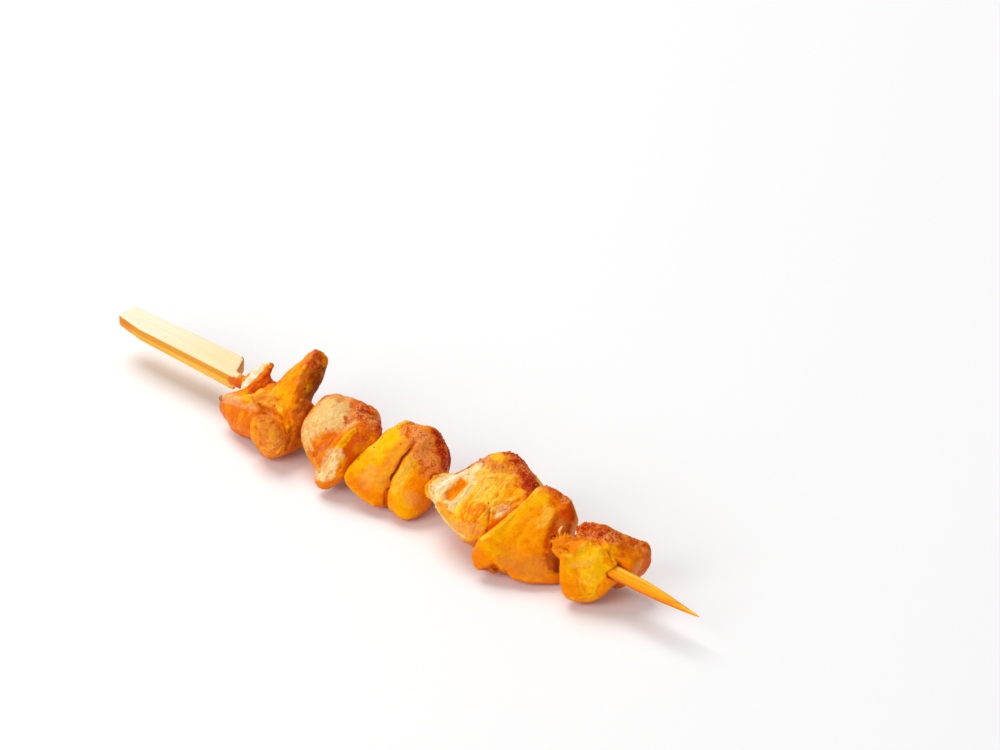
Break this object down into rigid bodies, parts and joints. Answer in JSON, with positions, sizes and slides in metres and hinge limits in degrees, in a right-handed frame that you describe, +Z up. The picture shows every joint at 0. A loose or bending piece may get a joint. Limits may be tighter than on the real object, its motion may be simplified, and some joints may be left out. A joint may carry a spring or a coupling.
{
  "type": "chicken kebab skewer",
  "caption": "Grilled chicken pieces threaded on a flat-handled pointed bamboo skewer, glazed and dusted with chilli flakes.",
  "frame": {"origin": "middle of the whole skewer's box in X and Y, on the surface that it lies on", "axes": "+X along the skewer from the handle to the point, +Z up, the side that the picture shows faces -Y"},
  "size_m": [0.18, 0.0246, 0.0192],
  "materials": {
    "chicken_1": "grilled chicken with an oily orange-yellow glaze and chilli flakes",
    "chicken_2": "grilled chicken with an oily orange-yellow glaze and chilli flakes",
    "chicken_3": "grilled chicken with an oily orange-yellow glaze and chilli flakes",
    "chicken_4": "grilled chicken with an oily orange-yellow glaze and chilli flakes",
    "chicken_5": "grilled chicken with an oily orange-yellow glaze and chilli flakes",
    "chicken_6": "grilled chicken with an oily orange-yellow glaze and chilli flakes",
    "skewer": "split bamboo, fine grain, stained by the glaze near the meat"
  },
  "bodies": {
    "root": {"chicken_1": "chicken_1", "chicken_2": "chicken_2", "chicken_3": "chicken_3", "chicken_4": "chicken_4", "chicken_5": "chicken_5", "chicken_6": "chicken_6", "skewer": "skewer"}
  },
  "joints": []
}
